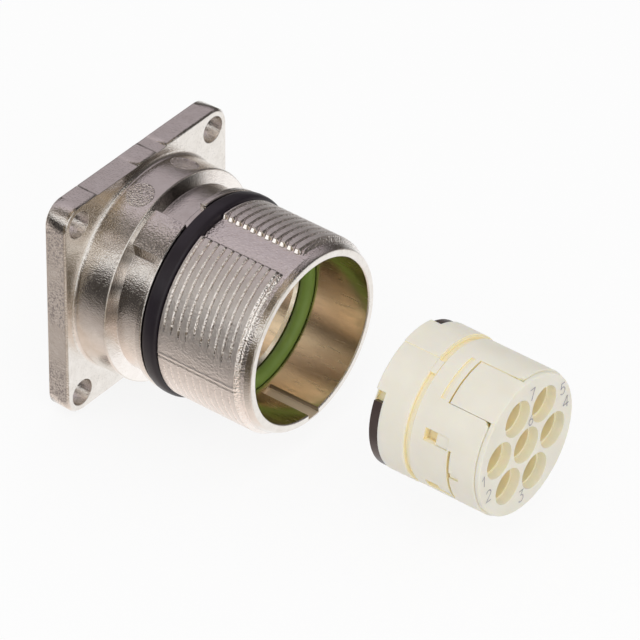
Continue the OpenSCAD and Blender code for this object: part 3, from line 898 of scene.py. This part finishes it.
ivory, tree, shader = new_material("ivory_plastic")
grain = pebbled(tree, *GRAIN)
narrow = openness(tree, SEAM_REACH_MM)
deep = openness(tree, CAVITY_REACH_MM)
inner = new_node(tree, "ShaderNodeSeparateXYZ")
tree.links.new(new_node(tree, "ShaderNodeTexCoord").outputs["Object"], inner.inputs["Vector"])
step_limits = [(FACE_X - depth) * MM for depth in STEP_DEPTH_MM]
past_step = ranged(tree, inner.outputs["X"], 1.0, 0.0, *step_limits)
# Painted glow in seams, cavities and crevices, and painted shade in the cavities past their step
closed_in = ranged(tree, deep, 1.0, 0.0, *CAVITY_OPEN)
tone = two_toned(tree, grain, IVORY)
tone = mixed(tree, ranged(tree, narrow, 1.0, 0.0, *SEAM_OPEN), tone, SEAM_PAINTED_GLOW)
tone = mixed(tree, closed_in, tone, CAVITY_PAINTED_GLOW)
tone = mixed(tree, product(tree, closed_in, past_step), tone, PAST_STEP_PAINTED_SHADE)
tone = mixed(tree, ranged(tree, narrow, 1.0, 0.0, *CREVICE_OPEN), tone, CREVICE_PAINTED_GLOW)
normal = bumped(tree, grain.outputs["Height"], GRAIN_BUMP_MM, GRAIN_EDGE_MM)
tree.links.new(tone, shader.inputs["Base Color"])
tree.links.new(uneven_gloss(tree, grain, 0.42, 0.58), shader.inputs["Roughness"])
tree.links.new(normal, shader.inputs["Normal"])
shader.inputs["Subsurface Weight"].default_value = 0.4
shader.inputs["Subsurface Radius"].default_value = (1.0, 0.75, 0.35)
shader.inputs["Subsurface Scale"].default_value = 0.8 * MM

# %% The carrier and the sleeve
carrier = add_object("carrier", merged_copy("carrier", "contact_carrier"), "insert", "ivory_plastic", ivory)
sleeve = add_object("sleeve", merged_copy("sleeve", "insert_body"), "insert", "ivory_plastic", ivory)
cavity_mounts = [m for m in frame["record"]["mounts"] if m["name"].startswith("cavity")]
cavities = [np.array(m["pos_m"][1:]) / MM for m in cavity_mounts]
for thing, node in ((carrier, "contact_carrier"), (sleeve, "insert_body")):
    true_normals(thing.data, cavities)
    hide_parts(node)
print("ivory pieces:", carrier.name, sleeve.name)

# %% [markdown]
# ## Contact numbers
# Plain numbers from 1 to 7 are printed beside the cavities in thin grey strokes. A text object would
# bring a typeface with its own thick and thin lines, so each number is drawn in plain strokes: paths of
# points, carried out to flat ribbons that lie on the face.


# %% Strokes of the numbers, in a box one unit high
def bow(cx, cy, rx, ry, start, stop, count=13):
    """Points of an ellipse's arc around (cx, cy) from one angle to another, in degrees."""
    t = np.radians(np.linspace(start, stop, count))
    return np.stack([cx + rx * np.cos(t), cy + ry * np.sin(t)], axis=1)


STROKES = {
    "1": [np.array([[0.08, 0.72], [0.34, 1.0], [0.34, 0.0]])],
    "2": [np.concatenate([bow(0.29, 0.73, 0.27, 0.27, 165, -35), [[0.02, 0.0], [0.58, 0.0]]])],
    "3": [np.concatenate([[[0.04, 1.0], [0.52, 1.0], [0.24, 0.62]], bow(0.26, 0.3, 0.29, 0.3, 75, -150)])],
    "4": [
        np.array([[0.46, 0.0], [0.46, 1.0]]),
        np.array([[0.46, 1.0], [0.0, 0.3]]),
        np.array([[0.0, 0.3], [0.66, 0.3]]),
    ],
    "5": [
        np.concatenate([[[0.52, 1.0], [0.12, 1.0], [0.07, 0.56]], bow(0.27, 0.32, 0.28, 0.32, 130, -150)]),
    ],
    "6": [np.concatenate([[[0.44, 1.0]], bow(0.3, 0.3, 0.27, 0.3, 150, 510, 25)])],
    "7": [np.array([[0.02, 1.0], [0.58, 1.0], [0.2, 0.0]])],
}
STROKE_MIDDLE = (0.3, 0.5)
# Middle of each number on the face: y and z in millimetres, and its height
NUMBERS = {
    "1": (-7.30, -0.45, 1.35),
    "2": (-6.40, -2.80, 1.45),
    "3": (-0.57, -6.47, 1.45),
    "4": (6.90, 1.60, 1.5),
    "5": (6.30, 3.70, 1.45),
    "6": (0.70, 2.90, 1.25),
    "7": (0.84, 6.20, 1.45),
}
INK_WIDTH = 0.14
INK_LIFT = 0.012
SHARPEST_BEND = 0.5


# %% Ribbons
def ribbon(path, width):
    """Two rows of corners either side of a path: each point moved along the normal of its own direction
    by half the width, lengthened at a bend so that the ribbon keeps its width."""
    step = np.diff(path, axis=0)
    step = step / np.linalg.norm(step, axis=1, keepdims=True)
    before = np.concatenate([step[:1], step])
    after = np.concatenate([step, step[-1:]])
    way = before + after
    way = way / np.maximum(np.linalg.norm(way, axis=1, keepdims=True), TINY)
    stretch = 1.0 / np.clip((way * after).sum(axis=1, keepdims=True), SHARPEST_BEND, 1.0)
    side = np.stack([-way[:, 1], way[:, 0]], axis=1) * stretch * width / 2
    return np.concatenate([path + side, path - side])


ink_corners = []
ink_faces = []
corner_count = 0
for stroke, (y, z, height) in [(stroke, NUMBERS[digit]) for digit in NUMBERS for stroke in STROKES[digit]]:
    flat = ribbon((stroke - STROKE_MIDDLE) * height, INK_WIDTH)
    half = len(flat) // 2
    start = np.arange(half - 1) + corner_count
    lift = np.full(len(flat), FACE_X + INK_LIFT)
    ink_corners.append(np.column_stack([lift, y + flat[:, 0], z + flat[:, 1]]))
    ink_faces.append(np.stack([start + half, start + half + 1, start + 1, start], axis=1))
    corner_count += len(flat)
ink_mesh = mesh_from_arrays("contact_numbers", np.concatenate(ink_corners), np.concatenate(ink_faces))

# %% Ink
INK = ((0.30, 0.27, 0.31), (0.48, 0.45, 0.48))
INK_GRAIN = (3000.0, 9000.0, 0.5)

ink, tree, shader = new_material("grey_ink")
tree.links.new(two_toned(tree, pebbled(tree, *INK_GRAIN), INK), shader.inputs["Base Color"])
shader.inputs["Roughness"].default_value = 0.6
numbers = add_object("contact_numbers", ink_mesh, "insert", "ivory_plastic", ink)
print("number ribbons:", len(ink_mesh.polygons), "faces")

# %% [markdown]
# ## Floor, light and background
# A pale floor under the part, an even world and three soft lamps light it plainly. Polished metal shows
# nothing but what stands around it, so mirror rays see a room of soft cards instead of the even world. A
# box of real cards could stand around the part, but it would shade the floor, so the room is painted on
# the world as three rings of colours around the connector axis. The first has white below, a dark gap on
# the far side, a lilac ceiling and a brown near side with one bright card. Ahead of the mouth a gilt ring
# takes over, and straight ahead one that is white above and dark on the far side. The floor is left out
# of mirror rays, because the room already has its white underside.

# %% Floor
FLOOR_Z = cad_box[0].z / MM - 0.2
FLOOR_R = 3000.0
FLOOR_GLOW = 0.86
FLOOR_STEP_DEG = 10.0
floor_angles = np.arange(0.0, 360.0, FLOOR_STEP_DEG)
floor_corners = polar(FLOOR_Z, FLOOR_R, floor_angles)[:, [1, 2, 0]]
floor_mesh = mesh_from_arrays("floor", floor_corners, [np.arange(len(floor_angles))])
floor = bpy.data.objects.new("floor", floor_mesh)
bpy.context.scene.collection.objects.link(floor)
floor.visible_glossy = False

pale, tree, shader = new_material("pale_floor")
shader.inputs["Base Color"].default_value = (0.9, 0.9, 0.9, 1.0)
shader.inputs["Roughness"].default_value = 0.9
path = new_node(tree, "ShaderNodeLightPath")
share = new_node(tree, "ShaderNodeMath", {1: FLOOR_GLOW}, operation="MULTIPLY")
glow = new_node(tree, "ShaderNodeEmission", {"Color": (1.0, 1.0, 1.0, 1.0), "Strength": 1.0})
either = new_node(tree, "ShaderNodeMixShader")
tree.links.new(path.outputs["Is Camera Ray"], share.inputs[0])
tree.links.new(share.outputs["Value"], either.inputs["Fac"])
tree.links.new(shader.outputs["BSDF"], either.inputs[1])
tree.links.new(glow.outputs["Emission"], either.inputs[2])
tree.links.new(either.outputs["Shader"], tree.nodes["Material Output"].inputs["Surface"])
floor_mesh.materials.append(pale)
print("floor at z", round(FLOOR_Z, 2), "mm")

# %% The room that mirror rays see: angle around the axis, brightness and tint
WHITE = (1.0, 1.0, 1.0)
LILAC = (1.0, 0.90, 0.96)
BROWN = (1.0, 0.90, 0.84)
GILT = (1.0, 0.80, 0.56)
ROOM = (
    (-180, 0.05, BROWN),
    (-168, 0.05, BROWN),
    (-156, 0.17, BROWN),
    (-146, 0.44, BROWN),
    (-128, 0.52, BROWN),
    (-116, 0.80, BROWN),
    (-90, 0.96, BROWN),
    (-76, 1.00, WHITE),
    (-24, 1.00, WHITE),
    (-14, 0.58, WHITE),
    (-4, 0.17, BROWN),
    (4, 0.06, BROWN),
    (20, 0.08, BROWN),
    (27, 0.20, LILAC),
    (35, 0.42, LILAC),
    (55, 0.44, LILAC),
    (74, 0.42, LILAC),
    (94, 0.62, LILAC),
    (103, 0.46, BROWN),
    (112, 0.14, BROWN),
    (124, 0.14, BROWN),
    (133, 0.58, BROWN),
    (142, 0.36, BROWN),
    (147, 1.10, WHITE),
    (154, 1.10, WHITE),
    (161, 0.22, BROWN),
    (169, 0.07, BROWN),
    (180, 0.05, BROWN),
)
AHEAD = (
    (-180, 0.09, GILT),
    (-166, 0.10, GILT),
    (-150, 0.15, GILT),
    (-141, 0.26, GILT),
    (-129, 0.78, BROWN),
    (-116, 0.90, BROWN),
    (-90, 0.96, BROWN),
    (-76, 1.00, WHITE),
    (-24, 1.00, WHITE),
    (-12, 0.55, BROWN),
    (0, 0.24, BROWN),
    (30, 0.05, BROWN),
    (48, 0.10, BROWN),
    (60, 0.04, BROWN),
    (76, 0.03, BROWN),
    (86, 0.30, GILT),
    (94, 0.60, GILT),
    (104, 0.36, GILT),
    (114, 0.05, BROWN),
    (124, 0.10, GILT),
    (134, 0.34, GILT),
    (144, 0.34, GILT),
    (149, 1.15, WHITE),
    (156, 1.15, WHITE),
    (165, 0.22, GILT),
    (180, 0.17, GILT),
)
STRAIGHT_AHEAD = (
    (-180, 1.00, WHITE),
    (-148, 1.00, WHITE),
    (-134, 0.28, GILT),
    (-118, 0.15, GILT),
    (-100, 0.20, GILT),
    (-84, 0.34, GILT),
    (-66, 0.40, GILT),
    (-52, 0.26, GILT),
    (-40, 0.06, BROWN),
    (60, 0.05, BROWN),
    (85, 1.00, WHITE),
    (180, 1.00, WHITE),
)
# The x of a ray's direction between which the second and the third ring fade in
AHEAD_X = (0.15, 0.35)
STRAIGHT_X = (0.66, 0.80)
EVEN_LIGHT = (0.80, 0.80, 0.80)

# %% World
world = bpy.data.worlds.new("studio")
bpy.context.scene.world = world
world.use_nodes = True
sky = world.node_tree
sky.nodes.clear()
toward = new_node(sky, "ShaderNodeTexCoord").outputs["Generated"]


def room_ring(cards):
    """One ring of the room: the colour at each angle, which is its tint times its brightness, and the x
    of the ray's direction."""
    tones = [(angle, tuple(np.multiply(tint, brightness))) for angle, brightness, tint in cards]
    return ring_of_tones(sky, toward, tones)


room, toward_x = room_ring(ROOM)
ahead, _ = room_ring(AHEAD)
straight, _ = room_ring(STRAIGHT_AHEAD)
toned = mixed(sky, ranged(sky, toward_x, 0.0, 1.0, *AHEAD_X), room, ahead)
carded = mixed(sky, ranged(sky, toward_x, 0.0, 1.0, *STRAIGHT_X), toned, straight)

sky_path = new_node(sky, "ShaderNodeLightPath")
lit = mixed(sky, sky_path.outputs["Is Glossy Ray"], EVEN_LIGHT, carded)
seen = mixed(sky, sky_path.outputs["Is Camera Ray"], lit, WHITE)
shine = new_node(sky, "ShaderNodeBackground", {"Strength": 1.0})
sky_out = new_node(sky, "ShaderNodeOutputWorld")
sky.links.new(seen, shine.inputs["Color"])
sky.links.new(shine.outputs["Background"], sky_out.inputs["Surface"])
print("room cards:", len(ROOM) + len(AHEAD) + len(STRAIGHT_AHEAD))

# %% Lamps
MIDDLE_MM = (25, 0, 0)


def soft_lamp(name, place_mm, size_mm, watts):
    """A square area lamp that faces the part's middle and stays out of mirror rays, which see the room
    instead."""
    data = bpy.data.lights.new(name, "AREA")
    data.size = size_mm * MM
    data.energy = watts
    lamp = bpy.data.objects.new(name, data)
    lamp.location = np.multiply(place_mm, MM)
    way = np.subtract(MIDDLE_MM, place_mm)
    tilt = np.arctan2(np.hypot(way[0], way[1]), -way[2])
    heading = np.arctan2(-way[0], way[1])
    lamp.rotation_euler = Euler((tilt, 0.0, heading))
    lamp.visible_glossy = False
    bpy.context.scene.collection.objects.link(lamp)
    print("lamp", name, watts, "W")


soft_lamp("key_lamp", (120, -220, 420), 300, 0.32)
soft_lamp("side_lamp", (-260, -260, 160), 200, 0.10)
soft_lamp("front_lamp", (420, -140, 180), 200, 0.22)
bpy.context.scene.view_settings.view_transform = "Standard"
